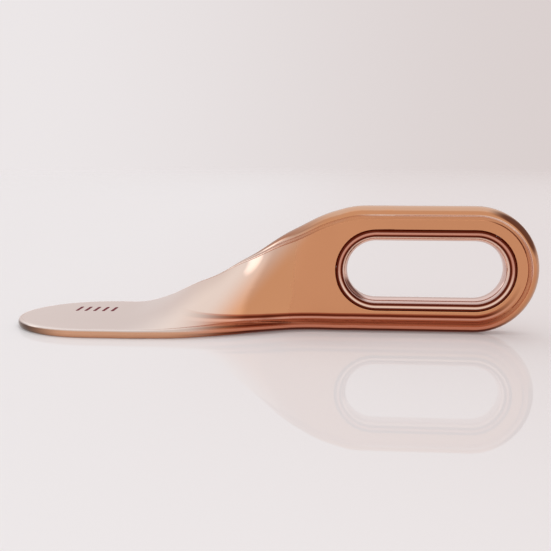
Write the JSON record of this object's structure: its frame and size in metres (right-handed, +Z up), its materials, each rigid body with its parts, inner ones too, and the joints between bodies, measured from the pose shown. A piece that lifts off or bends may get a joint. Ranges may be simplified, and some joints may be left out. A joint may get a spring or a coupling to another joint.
{
  "type": "ultrasonic skin scrubber",
  "caption": "Polished strip skin scrubber: a flat rounded blade that twists through a waisted neck into an upright loop handle with a finger slot.",
  "frame": {"origin": "centre of the footprint's bounding box, on the surface the scrubber lies on", "axes": "+X from the blade's tip to the loop's outer end, +Y across the blade towards the button side of the handle, +Z up from the resting surface"},
  "size_m": [0.1939, 0.0551, 0.046],
  "materials": {
    "rose_gold": "mirror polished rose-gold coated stainless steel",
    "rose_gold_plate": "polished rose-gold coated steel, inset cover",
    "enamel": "fired dark red enamel",
    "screw_steel": "rose-tinted steel",
    "silicone": "moulded silicone",
    "tray_plastic": "moulded ABS",
    "epoxy": "cured epoxy",
    "brass_shim": "rolled brass",
    "piezo_ceramic": "fired ceramic with silver electrode",
    "board": "green solder mask",
    "chip": "moulded epoxy",
    "ferrite": "ferrite",
    "copper_wire": "enamelled copper winding",
    "capacitor": "fired ceramic",
    "led": "clear moulded",
    "switch": "moulded with steel dome",
    "button": "satin rose-gold",
    "light_ring": "frosted translucent",
    "cell_foil": "foil pouch",
    "foam": "closed-cell foam",
    "gold": "gold plated",
    "black_plastic": "moulded PBT",
    "magnet": "nickel plated",
    "lead_red": "insulated lead",
    "lead_white": "insulated lead"
  },
  "bodies": {
    "casing": {"blade_body": "rose_gold", "rear_plate": "rose_gold_plate", "slot_liner": "rose_gold", "mark_inlay": "enamel", "plate_screws": "screw_steel", "plate_gasket": "silicone", "slot_seals": "silicone", "chassis": "tray_plastic", "transducer_bond": "epoxy", "transducer_shim": "brass_shim", "piezo_disc": "piezo_ceramic", "main_board": "board", "controller_chip": "chip", "driver_chip": "chip", "coil_core": "ferrite", "coil_winding": "copper_wire", "capacitors": "capacitor", "button_board": "board", "status_leds": "led", "tact_switch": "switch", "button_bezel": "light_ring", "button_seal": "silicone", "battery_cell": "cell_foil", "battery_pad": "foam", "charge_contacts": "gold", "contact_block": "black_plastic", "dock_magnets": "magnet", "battery_leads": "lead_red", "transducer_leads": "lead_white"},
    "button": {"power_button": "button"}
  },
  "joints": [
    {"name": "button_press", "type": "slide", "parent": "casing", "child": "button", "axis": [0, -1, 0], "range_m": [0, 0.00035], "stiffness_N_per_m": 1500, "springref_m": -0.0002}
  ]
}
